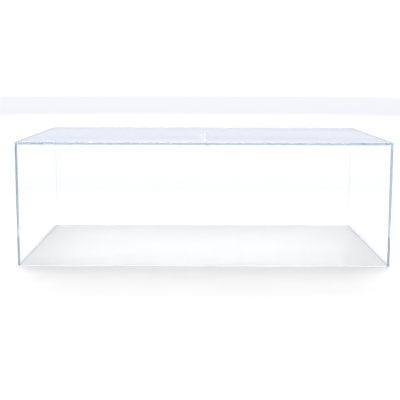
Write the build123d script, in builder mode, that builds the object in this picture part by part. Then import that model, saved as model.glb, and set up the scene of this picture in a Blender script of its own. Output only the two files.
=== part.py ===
"""Clear display case for a scale model: a five-sided cover, open underneath.

Five flat sheets are cemented edge to face. The front and back walls run the full length and cover
the ends of the side walls. The top lies on all four walls. Sizes are in millimetres, +X runs along
the length, the front faces -Y and the rim stands on Z = 0 under the middle of the case.
"""

import os

from build123d import *

# Outside sizes of the finished case
case_length = 330.0
case_depth = 165.0
case_height = 110.0

# Sheet stock
wall_thickness = 2.0
top_thickness = 2.0

# Edges broken and polished after the sheets are cemented
corner_radius = 0.8
top_edge_radius = 0.5
rim_chamfer = 0.3

# What follows from the sizes above
wall_height = case_height - top_thickness
side_wall_length = case_depth - 2 * wall_thickness
end_wall_centre = (case_depth - wall_thickness) / 2
side_wall_centre = (case_length - wall_thickness) / 2


def outside_rim(wall, inner_edge):
    """The edges round a wall's lower face, without the one that looks into the case."""
    lower_face = wall.faces().sort_by(Axis.Z)[0]
    return [edge for edge in lower_face.edges() if not edge.is_same(inner_edge)]


def long_wall(outward):
    """A full-length wall. outward is -1 at the front and +1 at the back."""
    with BuildPart() as wall:
        with BuildSketch(Plane.XY) as outline:
            with Locations((0, outward * end_wall_centre)):
                Rectangle(case_length, wall_thickness)
            by_depth = outline.vertices().group_by(Axis.Y)
            fillet(by_depth[-1] if outward > 0 else by_depth[0], corner_radius)
        extrude(amount=wall_height)
        lower_edges = wall.faces().sort_by(Axis.Z)[0].edges().sort_by(Axis.Y)
        inner_edge = lower_edges[0] if outward > 0 else lower_edges[-1]
        chamfer(outside_rim(wall, inner_edge), rim_chamfer)
    return wall


def side_wall(outward):
    """A wall between the long walls. outward is -1 on the left and +1 on the right."""
    with BuildPart() as wall:
        with BuildSketch(Plane.XY):
            with Locations((outward * side_wall_centre, 0)):
                Rectangle(wall_thickness, side_wall_length)
        extrude(amount=wall_height)
        lower_edges = wall.faces().sort_by(Axis.Z)[0].edges().filter_by(Axis.Y).sort_by(Axis.X)
        chamfer(lower_edges[-1] if outward > 0 else lower_edges[0], rim_chamfer)
    return wall


os.makedirs("parts", exist_ok=True)

with BuildPart() as top_panel:
    with BuildSketch(Plane.XY.offset(wall_height)) as outline:
        Rectangle(case_length, case_depth)
        fillet(outline.vertices(), corner_radius)
    extrude(amount=top_thickness)
    fillet(top_panel.faces().sort_by(Axis.Z)[-1].edges(), top_edge_radius)
top_panel.part.label = "top_panel"
export_step(top_panel.part, "parts/top_panel.step")

for name, outward in (("front_panel", -1), ("back_panel", 1)):
    panel = long_wall(outward)
    panel.part.label = name
    export_step(panel.part, f"parts/{name}.step")

for name, outward in (("left_panel", -1), ("right_panel", 1)):
    panel = side_wall(outward)
    panel.part.label = name
    export_step(panel.part, f"parts/{name}.step")
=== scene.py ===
# %% [markdown]
# # A clear display case for a scale model
# The real object is a cover made of five pieces of clear acrylic sheet, cemented edge to face and
# left open underneath. It has no colour, pattern or hardware to draw, so everything an eye can use
# comes from how light crosses the sheet: cut edges that glow blue, corners that catch a glint, and
# a top that mirrors the room behind it. This lesson builds the sheets as true solids with a small
# film of cement between them, then lets refraction, absorption and reflection do the drawing.

# %% Load the engineered frame
import math
import random

import bpy
from mathutils import Matrix, Vector


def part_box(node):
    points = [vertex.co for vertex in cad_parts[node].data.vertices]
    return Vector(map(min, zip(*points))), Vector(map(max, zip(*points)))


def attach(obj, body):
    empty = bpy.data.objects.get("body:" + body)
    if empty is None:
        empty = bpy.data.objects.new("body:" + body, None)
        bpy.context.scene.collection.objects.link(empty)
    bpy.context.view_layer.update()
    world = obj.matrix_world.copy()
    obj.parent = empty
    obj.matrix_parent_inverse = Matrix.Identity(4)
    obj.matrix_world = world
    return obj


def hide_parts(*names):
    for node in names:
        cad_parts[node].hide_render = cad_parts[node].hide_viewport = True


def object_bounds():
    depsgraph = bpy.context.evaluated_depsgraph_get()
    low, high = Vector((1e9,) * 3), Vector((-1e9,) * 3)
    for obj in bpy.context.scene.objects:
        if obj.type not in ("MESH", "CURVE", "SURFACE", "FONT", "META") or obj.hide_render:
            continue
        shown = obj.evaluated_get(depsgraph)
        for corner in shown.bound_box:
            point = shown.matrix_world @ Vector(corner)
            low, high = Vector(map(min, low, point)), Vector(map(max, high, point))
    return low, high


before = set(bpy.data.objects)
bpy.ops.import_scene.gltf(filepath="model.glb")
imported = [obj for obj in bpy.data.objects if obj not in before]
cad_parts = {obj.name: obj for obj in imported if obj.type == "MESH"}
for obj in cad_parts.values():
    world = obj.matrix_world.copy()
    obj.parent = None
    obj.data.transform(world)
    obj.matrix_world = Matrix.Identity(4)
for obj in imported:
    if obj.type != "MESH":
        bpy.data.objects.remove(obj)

cad_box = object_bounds()
MM = 0.001
print("case, in mm:", [round(side / MM, 1) for side in cad_box[1] - cad_box[0]])

# %% [markdown]
# ## Where the sheets are
# The frame already says where each sheet lies. Reading the corners of each node, and working out
# the sheet thickness from them, keeps this file free of repeated sizes: if the case grows, the
# sheets below grow with it.

# %% Read the sheets' places
top_low, top_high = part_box("top_panel")
front_low, front_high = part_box("front_panel")
back_low, back_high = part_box("back_panel")
left_low, left_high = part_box("left_panel")
right_low, right_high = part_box("right_panel")

wall_thickness = front_high.y - front_low.y
print("wall thickness, in mm:", round(wall_thickness / MM, 2))
print("top thickness, in mm:", round((top_high.z - top_low.z) / MM, 2))

# %% [markdown]
# ## The viewing position
# A small clear object is best seen from low down and a little in front, so that the near edges,
# the far edges and the foot all separate. The lens is a little long, about 60 mm, which keeps
# the case from looking stretched. The camera looks almost level and its view is shifted downward,
# as with a view camera, so that the upright corners of the case stay close to upright.

# %% Set up the camera
LENS_IN_MM = 61.35
SENSOR_IN_MM = 36.0
VIEW_SHIFT = -0.125
camera_data = bpy.data.cameras.new("studio_camera")
camera_data.lens = LENS_IN_MM
camera_data.sensor_width = SENSOR_IN_MM
camera_data.shift_y = VIEW_SHIFT
camera = bpy.data.objects.new("studio_camera", camera_data)
bpy.context.scene.collection.objects.link(camera)
bpy.context.scene.camera = camera

camera_place = Vector((-0.0045, -0.6718, 0.1707))
look_down = math.radians(-6.50)
turn_left = math.radians(-0.09)
roll = math.radians(-0.16)
camera.location = camera_place
aim = Matrix.Rotation(turn_left, 3, "Z") @ Matrix.Rotation(look_down, 3, "X")
aim = aim @ Matrix.Rotation(roll, 3, "Y") @ Matrix.Rotation(math.pi / 2, 3, "X")
camera.rotation_euler = aim.to_euler()
print("camera stands", round(-camera_place.y + front_low.y, 3), "m in front of the case")

# %% [markdown]
# ## Outlines that can be lofted
# A sheet could be a scaled cube, but a real one has no perfectly sharp corner anywhere: the maker
# scrapes and polishes every cut edge, and buffs the outside corners after cementing. Those tiny
# rounds are what catch the light. So each sheet is lofted from a stack of rounded outlines, where
# every corner has its own radius and every outline can be inset a little to turn over an edge.

# %% Draw a rounded outline
CORNER_STEPS = 6
SMALLEST_ROUND = 0.02 * MM


def rounded_outline(low, high, radii, insets):
    """Points round a rectangle in XY. radii go anticlockwise from the low x, low y corner, and
    insets move the sides in: low x, low y, high x, high y."""
    x0, y0 = low[0] + insets[0], low[1] + insets[1]
    x1, y1 = high[0] - insets[2], high[1] - insets[3]
    corners = ((x0, y0, 1, 1), (x1, y0, -1, 1), (x1, y1, -1, -1), (x0, y1, 1, -1))
    points = []
    for quarter, ((x, y, into_x, into_y), radius) in enumerate(zip(corners, radii)):
        r = max(radius - max(insets), SMALLEST_ROUND)
        centre_x, centre_y = x + into_x * r, y + into_y * r
        for step in range(CORNER_STEPS + 1):
            angle = math.pi + (quarter + step / CORNER_STEPS) * math.pi / 2
            points.append((centre_x + r * math.cos(angle), centre_y + r * math.sin(angle)))
    return points


print("points in an outline:", 4 * (CORNER_STEPS + 1))

# %% [markdown]
# ## Turning over an edge
# Going up the stack, the first step is a flat chamfer at the foot, where a maker draws a scraper
# once along each outward edge. At the top the outline shrinks back along a quarter circle. A radius
# of a tenth of a millimetre reads as a crisp polished edge, and half a millimetre as a buffed one.

# %% Stack the outlines of a sheet
ROUND_STEPS = 5


def stack(low_z, high_z, foot, rim, outward):
    """Heights with insets for a sheet. The foot is chamfered on its outward sides only, and the
    rim at the top is rounded on every side."""
    rows = [(low_z, [foot * side for side in outward]), (low_z + foot, [0.0] * 4)]
    for step in range(ROUND_STEPS + 1):
        angle = step / ROUND_STEPS * math.pi / 2
        drop, inset = rim * (1 - math.sin(angle)), rim * (1 - math.cos(angle))
        rows.append((high_z - drop, [inset] * 4))
    return rows


print("rows in a stack:", len(stack(0, 1, 0.1, 0.1, (1, 1, 1, 1))))

# %% [markdown]
# ## Bubbles in the cement
# Solvent cement is drawn into a joint by a needle, and air that cannot get out stays as a row of
# tiny bubbles. Each is a hollow in the sheet: an egg-shaped shell whose faces look inward, so that
# light leaves the acrylic there and enters it again on the far side.

# %% Hollow out a bubble
BUBBLE_RINGS = 8
BUBBLE_SIDES = 12


def add_bubble(vertices, faces, centre, radii):
    """Adds a hollow to a sheet's lists of vertices and faces."""
    start = len(vertices)
    vertices.append((centre[0], centre[1], centre[2] - radii[2]))
    for ring in range(1, BUBBLE_RINGS):
        tilt = math.pi * ring / BUBBLE_RINGS
        for side in range(BUBBLE_SIDES):
            turn = 2 * math.pi * side / BUBBLE_SIDES
            vertices.append((
                centre[0] + radii[0] * math.sin(tilt) * math.cos(turn),
                centre[1] + radii[1] * math.sin(tilt) * math.sin(turn),
                centre[2] - radii[2] * math.cos(tilt),
            ))
    vertices.append((centre[0], centre[1], centre[2] + radii[2]))
    last = len(vertices) - 1
    crown = last - BUBBLE_SIDES
    for side in range(BUBBLE_SIDES):
        after = (side + 1) % BUBBLE_SIDES
        faces.append((start, start + 1 + side, start + 1 + after))
        for ring in range(BUBBLE_RINGS - 2):
            lower = start + 1 + ring * BUBBLE_SIDES
            upper = lower + BUBBLE_SIDES
            faces.append((lower + after, lower + side, upper + side, upper + after))
        faces.append((last, crown + after, crown + side))


print("faces in a bubble:", BUBBLE_SIDES * BUBBLE_RINGS)

# %% [markdown]
# ## Flat faces, soft edges
# The two big faces of a sheet must stay optically flat, or the scene behind would swim. Smooth
# shading alone would bend the light near every rounded edge, so the mesh gets normals weighted by
# face area: the big faces keep their own normal and only the small rounds are blended. Folds of
# thirty degrees or more stay sharp.

# %% Turn outlines into a piece
SHARP_FROM = math.radians(30)
AREA_WEIGHT = 100


def finish_mesh(name, vertices, faces):
    """A smooth piece with area-weighted normals, linked into the scene."""
    mesh = bpy.data.meshes.new(name)
    mesh.from_pydata(vertices, [], faces)
    mesh.update()
    mesh.shade_smooth()
    mesh.set_sharp_from_angle(angle=SHARP_FROM)
    piece = bpy.data.objects.new(name, mesh)
    bpy.context.scene.collection.objects.link(piece)
    weighted = piece.modifiers.new("flat_faces", "WEIGHTED_NORMAL")
    weighted.weight = AREA_WEIGHT
    weighted.keep_sharp = True
    return piece


print("folds stay sharp from", round(math.degrees(SHARP_FROM)), "degrees")

# %% [markdown]
# ## Which faces are matt
# The skins of a sheet are as clear as they left the rollers. A cut edge is scraped and polished and
# keeps a trace of haze, and so does the chamfer under a wall. The corners and the upper rims of the
# walls are buffed by hand, which leaves them softest of all. A number on each face tells the finish
# which of the three it is. A face counts as turned when its normal is square on to no axis. The
# axes are numbered 0, 1 and 2, and the skins of the top are the only ones that face the upright one.

# %% Mark how matt each face is
POLISHED_CUT = 0.25
BUFFED = 1.0
SQUARE_ON = 0.999
FACES_DOWN = -0.5
UPRIGHT = 2


def mark_matt_faces(mesh, skin_axis, sheet_faces):
    """Stores the matt number: 0 on the two skins and in bubbles, more on cut and buffed faces."""
    is_wall = skin_axis != UPRIGHT
    matt = mesh.attributes.new("matt", "FLOAT", "FACE")
    for face in mesh.polygons[:sheet_faces]:
        if abs(face.normal[skin_axis]) > SQUARE_ON:
            continue
        turned = max(abs(part) for part in face.normal) < SQUARE_ON
        buffed = is_wall and turned and face.normal.z > FACES_DOWN
        matt.data[face.index].value = BUFFED if buffed else POLISHED_CUT


print("matt numbers, polished and buffed:", POLISHED_CUT, BUFFED)

# %% [markdown]
# ## Lofting a sheet
# Joining each outline to the next with quads, and closing both ends, gives one watertight solid.

# %% Loft a sheet
def sheet_of_acrylic(name, low, high, radii, rims, outward, skin_axis, bubbles=()):
    """A sheet between two corners, from stacked outlines, with hollow bubbles if there are any."""
    rows = stack(low[2], high[2], *rims, outward)
    loops = [rounded_outline(low, high, radii, insets) for _, insets in rows]
    count = len(loops[0])
    vertices = [(x, y, z) for (z, _), loop in zip(rows, loops) for x, y in loop]
    faces = [tuple(reversed(range(count)))]
    for row in range(len(rows) - 1):
        base = row * count
        for i in range(count):
            j = (i + 1) % count
            faces.append((base + i, base + j, base + count + j, base + count + i))
    faces.append(tuple(range((len(rows) - 1) * count, len(rows) * count)))
    sheet_faces = len(faces)
    for centre, bubble_radii in bubbles:
        add_bubble(vertices, faces, centre, bubble_radii)
    piece = finish_mesh(name, vertices, faces)
    mark_matt_faces(piece.data, skin_axis, sheet_faces)
    return piece


print("faces in a plain sheet:", 2 + (ROUND_STEPS + 2) * 4 * (CORNER_STEPS + 1))

# %% [markdown]
# ## Helpers for finishes
# Materials are short graphs. A few helpers keep them readable: one plugs a value or a link into a
# socket, one adds a node, and two cover the sums that come back again and again.

# %% Add nodes by name
def plug(tree, socket, value):
    """Links a socket to the given one, or sets a plain value on it."""
    if isinstance(value, bpy.types.NodeSocket):
        tree.links.new(value, socket)
    else:
        socket.default_value = value


def add_node(tree, kind, settings=None, **inputs):
    """Adds a node and plugs its inputs by name, or by number with the keywords i0, i1 and so on."""
    made = tree.nodes.new(kind)
    for key, value in (settings or {}).items():
        setattr(made, key, value)
    for key, value in inputs.items():
        numbered = key[0] == "i" and key[1:].isdigit()
        plug(tree, made.inputs[int(key[1:])] if numbered else made.inputs[key], value)
    return made


def calculate(tree, operation, *values):
    """One sum on the values given."""
    made = add_node(tree, "ShaderNodeMath", {"operation": operation})
    for socket, value in zip(made.inputs, values):
        plug(tree, socket, value)
    return made.outputs[0]


def remap(tree, value, start, end, low=0.0, high=1.0):
    """Stretches start to end of a value over low to high, and holds it beyond them."""
    return add_node(tree, "ShaderNodeMapRange", i0=value, i1=start, i2=end, i3=low, i4=high).outputs[0]


def new_material(name):
    """A material with an empty node tree."""
    material = bpy.data.materials.new(name)
    material.use_nodes = True
    material.node_tree.nodes.clear()
    return material, material.node_tree


print("helpers:", plug.__name__, add_node.__name__, calculate.__name__, remap.__name__)

# %% [markdown]
# ## Clear acrylic
# Acrylic bends light almost like glass, with an index of 1.49. A wall is two millimetres thick and
# looks colourless, but light that enters a cut edge runs the whole width of the sheet before it
# leaves, bouncing from skin to skin. Over that distance the material takes out red first, then
# green, and the edge turns blue. A volume absorption gives exactly this: the colour below is what
# survives, and the density sets how fast.

# %% Set the optics of the sheet
ACRYLIC_INDEX = 1.49
ABSORPTION_PER_METRE = 6.6
SURVIVING_COLOUR = (0.30, 0.54, 0.70, 1.0)
path = top_high.y - top_low.y
through = [math.exp(-ABSORPTION_PER_METRE * (1 - c) * path) for c in SURVIVING_COLOUR[:3]]
print("light left after crossing the case front to back:", [round(t, 2) for t in through])

# %% [markdown]
# ## Relief: rollers and scrapers
# Extruded sheet is never perfectly flat: the rollers leave long shallow waves along its length,
# which stretch reflections into streaks. A cut edge has slow ripples from the scraper instead. Both
# are noise in the case's own coordinates, a few thousandths of a millimetre high. A scale is how
# many of its features go into a metre, so a small number along x makes long waves.

# %% Raise the relief
ROLLER_SCALE = (3.0, 55.0, 55.0)
SCRAPER_SCALE = 75.0
SCRAPER_RIPPLE = 0.002


def sheet_relief(tree, place, cut, wave):
    """Bump in millimetres: roller waves on the skins, scraper ripples where cut is 1."""
    stretched = add_node(tree, "ShaderNodeMapping", Vector=place, Scale=ROLLER_SCALE)
    rolled = add_node(tree, "ShaderNodeTexNoise", Vector=stretched.outputs[0], Scale=1.0, Detail=2.0)
    scraped = add_node(tree, "ShaderNodeTexNoise", Vector=place, Scale=SCRAPER_SCALE, Detail=3.0)
    height = add_node(tree, "ShaderNodeMix", {"data_type": "FLOAT"}, i0=cut)
    plug(tree, height.inputs[2], calculate(tree, "MULTIPLY", rolled.outputs[0], wave))
    plug(tree, height.inputs[3], calculate(tree, "MULTIPLY", scraped.outputs[0], SCRAPER_RIPPLE))
    bump = add_node(tree, "ShaderNodeBump", Strength=1.0, Distance=MM, Height=height.outputs[0])
    return bump.outputs[0]


print("roller waves lie about", round(1 / ROLLER_SCALE[1] / MM), "mm apart")

# %% [markdown]
# ## Haze: wiping and buffing
# Dusting a cover drags grit over it, always the same way, and leaves hairlines that scatter a
# little light. They are written as roughness, with the haze of cut and buffed faces added to it.

# %% Spread the haze
HAIR_SCALE = (14.0, 900.0, 900.0)
HAIR_TURN = (0.0, 0.0, 0.12)
HAIRS_SHOW = (0.52, 0.75)
MATT_ROUGHNESS = 0.2


def sheet_haze(tree, place, matt, wipe):
    """Roughness from hairline wipe marks, plus the matt number of each face."""
    dragged = add_node(tree, "ShaderNodeMapping", Vector=place, Scale=HAIR_SCALE, Rotation=HAIR_TURN)
    hairs = add_node(tree, "ShaderNodeTexNoise", Vector=dragged.outputs[0], Scale=1.0, Detail=4.0)
    marks = remap(tree, hairs.outputs[0], *HAIRS_SHOW, 0.0, wipe)
    return calculate(tree, "MULTIPLY_ADD", matt, MATT_ROUGHNESS, marks)


print("haze, polished and buffed:", MATT_ROUGHNESS * POLISHED_CUT, MATT_ROUGHNESS * BUFFED)

# %% [markdown]
# ## A drag mark on the top
# In the middle of the top is a small milky blemish: a patch some way in, with a narrow trail that
# runs out to the front edge. It is a mask in x and y that is full in its core, fades to its sides
# and its far end, and is broken up by a patchy noise. It only adds roughness.

# %% Drag a milky mark
MARK_HALF_WIDTHS = (1.8 * MM, 7.0 * MM)
MARK_WIDEST_AT = 20 * MM
MARK_FADES = (12 * MM, 30 * MM)
MARK_CORE = 0.4
PATCH_SCALE = (420.0, 90.0, 420.0)
PATCHES_SHOW = (0.42, 0.60)
MARK_ROUGHNESS = 0.28


def add_milky_mark(tree, place, roughness):
    """Adds the mark along x = 0 to a roughness: narrow at the front edge, wider further in."""
    parts = add_node(tree, "ShaderNodeSeparateXYZ", Vector=place)
    aside = calculate(tree, "ABSOLUTE", parts.outputs["X"])
    half_width = remap(tree, parts.outputs["Y"], top_low.y, MARK_WIDEST_AT, *MARK_HALF_WIDTHS)
    share = calculate(tree, "DIVIDE", aside, half_width)
    across = remap(tree, share, MARK_CORE, 1.0, 1.0, 0.0)
    along = remap(tree, parts.outputs["Y"], *MARK_FADES, 1.0, 0.0)
    fine = add_node(tree, "ShaderNodeMapping", Vector=place, Scale=PATCH_SCALE)
    patches = add_node(tree, "ShaderNodeTexNoise", Vector=fine.outputs[0], Scale=1.0)
    broken = remap(tree, patches.outputs[0], *PATCHES_SHOW, 0.0, MARK_ROUGHNESS)
    mask = calculate(tree, "MULTIPLY", across, along)
    return calculate(tree, "MULTIPLY_ADD", mask, broken, roughness)


print("the milky mark runs in from the front edge, in mm:", round((MARK_FADES[1] - top_low.y) / MM))

# %% [markdown]
# ## The finish as a whole
# The sheet is one transmissive surface with the absorption inside it. The walls and the top are the
# same acrylic. The top is touched more, so its waves and wipe marks are a little stronger.

# %% Mix the finish of a sheet
SKIN_TINT = (0.997, 0.998, 1.0, 1.0)


def clear_acrylic(name, wipe, wave, marked=False):
    """Acrylic sheet. wipe is the haze of its hairlines, wave the height of its roller waves."""
    material, tree = new_material(name)
    place = add_node(tree, "ShaderNodeTexCoord").outputs["Object"]
    matt = add_node(tree, "ShaderNodeAttribute", {"attribute_name": "matt"}).outputs["Fac"]
    cut = calculate(tree, "GREATER_THAN", matt, POLISHED_CUT / 2)
    roughness = sheet_haze(tree, place, matt, wipe)
    if marked:
        roughness = add_milky_mark(tree, place, roughness)
    sheet = add_node(tree, "ShaderNodeBsdfPrincipled", Roughness=roughness, IOR=ACRYLIC_INDEX)
    sheet.inputs["Base Color"].default_value = SKIN_TINT
    sheet.inputs["Transmission Weight"].default_value = 1.0
    plug(tree, sheet.inputs["Normal"], sheet_relief(tree, place, cut, wave))
    tint = add_node(tree, "ShaderNodeVolumeAbsorption", Color=SURVIVING_COLOUR)
    tint.inputs["Density"].default_value = ABSORPTION_PER_METRE
    add_node(tree, "ShaderNodeOutputMaterial", Surface=sheet.outputs[0], Volume=tint.outputs[0])
    return material


wall_acrylic = clear_acrylic("wall_acrylic", wipe=0.03, wave=0.006)
top_acrylic = clear_acrylic("top_acrylic", wipe=0.06, wave=0.008, marked=True)
print("finishes:", wall_acrylic.name, top_acrylic.name)

# %% [markdown]
# ## Cutting the five sheets
# Cemented sheets are a hair apart, with the cement in between. Leaving that film as a gap of four
# hundredths of a millimetre keeps each sheet its own closed solid: light then enters and leaves
# every sheet through its own surfaces, which is also what makes the joints show as fine lines. The
# outside corners are buffed to a small radius, the foot is chamfered, and the hidden edges are only
# scraped.

# %% Lay out the sheets
CEMENT_FILM = 0.04 * MM
OUTSIDE_CORNER = 0.8 * MM
TOP_RIM = 0.5 * MM
FOOT_RIM = 0.3 * MM
SCRAPED = 0.12 * MM


def sheet_piece(node, low, high, radii, rims, outward, skin_axis, finish, bubbles=()):
    """Cuts a sheet for a node, gives it its finish, and lets it stand for the node."""
    name = node.replace("panel", "sheet")
    piece = sheet_of_acrylic(name, low, high, radii, rims, outward, skin_axis, bubbles)
    piece.data.materials.append(finish)
    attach(piece, "root")
    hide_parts(node)
    print(piece.name, [round(side / MM, 2) for side in piece.dimensions])


# %% [markdown]
# ### The top
# The top lies over all four walls, so all four of its cut edges show. Its upper rim is the edge
# that hands touch most, and gets the largest round. A run of small air bubbles is trapped at the
# joint with the front wall near the left end, where the cement went in last, and one bubble sits
# on each side of the middle. Their sizes and places, in millimetres, wander a little from a fixed
# seed.

# %% Make the top sheet
BUBBLES_ALONG = (-158.2, -155.4, -152.1, -147.8, -143.5, -139.2, -5.4, 2.2)
BUBBLE_HEIGHT = 0.75 * MM
BUBBLE_SIZES = (0.45, 0.65)
BUBBLE_WANDER = 0.3
BUBBLE_SQUASH = 0.8
random.seed(4)
bubbles = []
joint_y = (front_low.y + front_high.y) / 2
for along in BUBBLES_ALONG:
    size = random.uniform(*BUBBLE_SIZES) * MM
    aside = random.uniform(-BUBBLE_WANDER, BUBBLE_WANDER) * MM
    centre = (along * MM, joint_y + aside, top_low.z + BUBBLE_HEIGHT)
    bubbles.append((centre, (size, size * BUBBLE_SQUASH, size)))
all_sides = (1, 1, 1, 1)
sheet_piece(
    "top_panel", top_low, top_high, [OUTSIDE_CORNER] * 4, (SCRAPED, TOP_RIM), all_sides, UPRIGHT,
    top_acrylic, bubbles=bubbles,
)

# %% [markdown]
# ### The long walls
# Front and back run the full length and cover the ends of the side walls. Only their two outward
# corners are buffed round, and only the outward edges of the foot are chamfered. They stop one
# cement film below the top.

# %% Make the front and back sheets
below_top = Vector((0, 0, CEMENT_FILM))
outward_front = [OUTSIDE_CORNER, OUTSIDE_CORNER, SCRAPED, SCRAPED]
outward_back = [SCRAPED, SCRAPED, OUTSIDE_CORNER, OUTSIDE_CORNER]
rims = (FOOT_RIM, SCRAPED)
FRONT_TO_BACK = 1
long_walls = (
    ("front_panel", front_low, front_high, outward_front, (1, 1, 1, 0)),
    ("back_panel", back_low, back_high, outward_back, (1, 0, 1, 1)),
)
for node, low, high, radii, outward in long_walls:
    sheet_piece(node, low, high - below_top, radii, rims, outward, FRONT_TO_BACK, wall_acrylic)

# %% [markdown]
# ### The side walls
# The side walls fit between the long ones. Seen from the front, each is looked at end on through
# the front wall: this is the blue bar at each corner of the case.

# %% Make the side sheets
between = Vector((0, CEMENT_FILM, 0))
SIDE_TO_SIDE = 0
side_walls = (
    ("left_panel", left_low, left_high, (1, 0, 0, 0)),
    ("right_panel", right_low, right_high, (0, 0, 1, 0)),
)
for node, low, high, outward in side_walls:
    place_low, place_high = low + between, high - between - below_top
    radii = [SCRAPED] * 4
    sheet_piece(node, place_low, place_high, radii, rims, outward, SIDE_TO_SIDE, wall_acrylic)

# %% [markdown]
# ## The floor
# A pale floor grounds the case: it takes the faint shade of the walls, cast partly by the light and partly
# painted into its colour, and a thin painted shadow along the foot. It belongs to the studio, not to the
# case, and lies a twentieth of a millimetre below it.

# %% Lay the floor
FLOOR_REACH = 12.0
FLOOR_GAP = 0.05 * MM
floor_mesh = bpy.data.meshes.new("studio_floor")
corners = [(-1, -1), (1, -1), (1, 1), (-1, 1)]
floor_mesh.from_pydata([(x * FLOOR_REACH, y * FLOOR_REACH, 0) for x, y in corners], [], [(0, 1, 2, 3)])
floor = bpy.data.objects.new("studio_floor", floor_mesh)
bpy.context.scene.collection.objects.link(floor)
floor.location.z = cad_box[0].z - FLOOR_GAP
print("floor, in m:", 2 * FLOOR_REACH, "square")

# %% [markdown]
# ## How far from the case
# The floor's colour is painted by its distance from the case: a painted pool of light where the case
# stands and painted shade around it. Mirroring the place into one quarter and taking off half the
# case's size gives that distance in three nodes.

# %% Measure the distance on the floor
floor_material, tree = new_material("pale_floor")
place = add_node(tree, "ShaderNodeNewGeometry").outputs["Position"]
mirrored = add_node(tree, "ShaderNodeVectorMath", {"operation": "ABSOLUTE"}, i0=place)
outside = add_node(tree, "ShaderNodeVectorMath", {"operation": "SUBTRACT"}, i0=mirrored.outputs[0])
outside.inputs[1].default_value = (cad_box[1].x, cad_box[1].y, 0.0)
positive = add_node(tree, "ShaderNodeVectorMath", {"operation": "MAXIMUM"}, i0=outside.outputs[0])
positive.inputs[1].default_value = (0.0, 0.0, 0.0)
length = add_node(tree, "ShaderNodeVectorMath", {"operation": "LENGTH"}, i0=positive.outputs[0])
away = length.outputs["Value"]
print("half the case, in mm:", round(cad_box[1].x / MM, 1), "by", round(cad_box[1].y / MM, 1))

# %% [markdown]
# ## Painting light and shade onto the floor
# Each tone below is a distance in metres with its colour. The tones are painted light and shade: a
# painted pool of light where the case stands falls off over the first few centimetres into painted
# shade around the case, and a band of painted shade two metres out stands where the edge of the lit area
# would be.
# Right against the foot a band of three millimetres is a painted contact shadow, slightly darker and
# cooler: the narrow gap there catches less light.

# %% Paint the floor
PAINTED_REACH = 6.0
FLOOR_GLOSS_ROUGHNESS = 0.15
UNDER_THE_CASE = 0.2 * MM
AGAINST_THE_FOOT = (1.8 * MM, 3.2 * MM)
FOOT_SHADE = (0.76, 0.78, 0.86, 1.0)
# Painted light and shade: bright under and beside the case, darker further out, with a darker band far off.
painted_floor_light = (
    (0.0, 0.97, 0.97, 0.97),
    (0.024, 0.93, 0.93, 0.93),
    (0.045, 0.82, 0.82, 0.82),
    (0.080, 0.64, 0.64, 0.64),
    (0.25, 0.58, 0.58, 0.58),
    (0.80, 0.68, 0.68, 0.68),
    (1.80, 0.72, 0.72, 0.72),
    (2.20, 0.53, 0.525, 0.52),
    (4.00, 0.53, 0.525, 0.52),
    (4.50, 0.72, 0.72, 0.72),
    (6.00, 0.73, 0.73, 0.73),
)


def paint_ramp(tree, fac, stops):
    """A colour ramp with the given stops of position, red, green and blue."""
    ramp = add_node(tree, "ShaderNodeValToRGB", Fac=fac)
    elements = ramp.color_ramp.elements
    elements.remove(elements[1])
    elements[0].position = stops[0][0]
    elements[0].color = (*stops[0][1:], 1.0)
    for position, *colour in stops[1:]:
        elements.new(position).color = (*colour, 1.0)
    return ramp.outputs[0]


shares = [(distance / PAINTED_REACH, *colour) for distance, *colour in painted_floor_light]
tone = paint_ramp(tree, remap(tree, away, 0.0, PAINTED_REACH), shares)
# A painted contact shadow: the floor colour is darkened and cooled in a thin band just outside the foot.
beside = calculate(tree, "GREATER_THAN", away, UNDER_THE_CASE)
close = remap(tree, away, *AGAINST_THE_FOOT, 1.0, 0.0)
shaded = add_node(tree, "ShaderNodeMix", {"data_type": "RGBA", "blend_type": "MULTIPLY"})
plug(tree, shaded.inputs[0], calculate(tree, "MULTIPLY", beside, close))
plug(tree, shaded.inputs[6], tone)
plug(tree, shaded.inputs[7], FOOT_SHADE)
paint = add_node(tree, "ShaderNodeBsdfPrincipled", Roughness=FLOOR_GLOSS_ROUGHNESS)
plug(tree, paint.inputs["Base Color"], shaded.outputs[2])
add_node(tree, "ShaderNodeOutputMaterial", Surface=paint.outputs[0])
floor_mesh.materials.append(floor_material)
print("floor tones:", len(painted_floor_light))

# %% [markdown]
# ## The light around the case
# Clear objects are lit by what stands around them, not by a lamp pointed at them. The surround is
# dimmer low down, in a pale lavender grey that the top mirrors at a shallow angle, and bright from
# about a third of the way up. It is darker on the side of the viewer, so the walls throw a faint
# shade forward onto the floor. Each tone below is the sine of its angle above level, with its
# colour. Soft level bands keep the mirrored tone from looking like paper.

# %% Surround the case with soft light
BAND_SCALE = (1.2, 1.2, 110.0)
BANDS_SHOW = (0.25, 0.75)
BAND_TONES = (0.90, 1.10)
VIEWER_SIDE = 0.4
surround_tones = (
    (0.00, 0.92, 0.94, 1.04),
    (0.05, 0.69, 0.72, 0.82),
    (0.13, 0.84, 0.87, 0.96),
    (0.36, 0.84, 0.87, 0.93),
    (0.46, 1.60, 1.59, 1.56),
    (1.00, 1.90, 1.88, 1.84),
)
world = bpy.data.worlds.new("soft_studio")
bpy.context.scene.world = world
world.use_nodes = True
tree = world.node_tree
tree.nodes.clear()
direction = add_node(tree, "ShaderNodeTexCoord").outputs["Generated"]
split = add_node(tree, "ShaderNodeSeparateXYZ", Vector=direction)
by_height = paint_ramp(tree, split.outputs["Z"], surround_tones)
banded = add_node(tree, "ShaderNodeMapping", Vector=direction, Scale=BAND_SCALE)
bands = add_node(tree, "ShaderNodeTexNoise", Vector=banded.outputs[0], Scale=1.0, Detail=1.0)
uneven = remap(tree, bands.outputs[0], *BANDS_SHOW, *BAND_TONES)
rearward = remap(tree, split.outputs["Y"], -1.0, 1.0, VIEWER_SIDE, 1.0)
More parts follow.
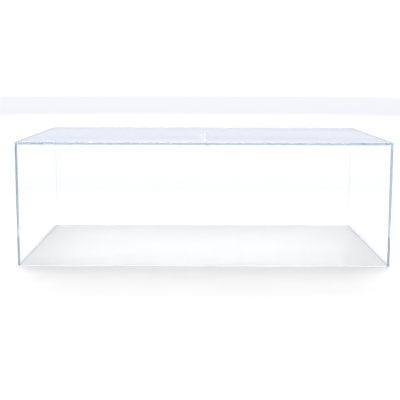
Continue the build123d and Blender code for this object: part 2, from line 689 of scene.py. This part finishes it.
surround = add_node(tree, "ShaderNodeMix", {"data_type": "RGBA", "blend_type": "MULTIPLY"})
plug(tree, surround.inputs[0], 1.0)
plug(tree, surround.inputs[6], by_height)
plug(tree, surround.inputs[7], calculate(tree, "MULTIPLY", rearward, uneven))
surround_light = add_node(tree, "ShaderNodeBackground", Color=surround.outputs[2], Strength=1.0)
print("surround tones:", len(surround_tones))

# %% [markdown]
# ## The main light
# One large soft light hangs above and behind the case. It is a smooth lobe in the surround, with no
# edge that a polished face could mirror, and it stops short of the low directions that the
# chamfered foot looks into.

# %% Hang the main light
LIGHT_TOWARD = Vector((0.0, 0.57, 0.82)).normalized()
LIGHT_TIGHTNESS = 11.0
LIGHT_STRENGTH = 6.9
LIGHT_STARTS = (0.36, 0.52)
LIGHT_COLOUR = (1.0, 0.99, 0.97, 1.0)
toward = add_node(tree, "ShaderNodeVectorMath", {"operation": "DOT_PRODUCT"}, i0=direction, i1=LIGHT_TOWARD)
facing = calculate(tree, "MAXIMUM", toward.outputs["Value"], 0.0)
lobe = calculate(tree, "POWER", facing, LIGHT_TIGHTNESS)
glow = calculate(tree, "MULTIPLY", lobe, LIGHT_STRENGTH)
high_enough = remap(tree, split.outputs["Z"], *LIGHT_STARTS)
strength = calculate(tree, "MULTIPLY", glow, high_enough)
main_light = add_node(tree, "ShaderNodeBackground", Color=LIGHT_COLOUR, Strength=strength)
print("main light, degrees above the floor:", round(math.degrees(math.asin(LIGHT_TOWARD.z))))

# %% [markdown]
# ## Plain white past the case
# A direct look past the case meets plain white. Only light that has touched something sees the
# surround and the main light.

# %% Join the lights
PLAIN_WHITE = (1.1, 1.1, 1.1, 1.0)
around = add_node(tree, "ShaderNodeAddShader", i0=surround_light.outputs[0], i1=main_light.outputs[0])
plain = add_node(tree, "ShaderNodeBackground", Color=PLAIN_WHITE, Strength=1.0)
seen = add_node(tree, "ShaderNodeLightPath").outputs["Is Camera Ray"]
either = add_node(tree, "ShaderNodeMixShader", i0=seen, i1=around.outputs[0], i2=plain.outputs[0])
add_node(tree, "ShaderNodeOutputWorld", Surface=either.outputs[0])

# %% [markdown]
# ## Letting the light travel
# Inside a sheet, light may bounce from skin to skin fifteen times or more before it gets out at the
# far edge. A path tracer stops counting much earlier unless it is told not to, and the cut edges
# would go black instead of blue. Trimming the rare brightest paths, and softening gloss that is
# seen through gloss, keeps the thin edges even.

# %% Allow enough bounces
BOUNCES = 48
BRIGHTEST_PATH = 5.0
GLOSS_SOFTENING = 5.0
cycles = bpy.context.scene.cycles
cycles.max_bounces = BOUNCES
cycles.transmission_bounces = BOUNCES
cycles.glossy_bounces = BOUNCES
cycles.sample_clamp_indirect = BRIGHTEST_PATH
cycles.blur_glossy = GLOSS_SOFTENING
bpy.context.scene.view_settings.view_transform = "Standard"
print("bounces allowed:", BOUNCES)
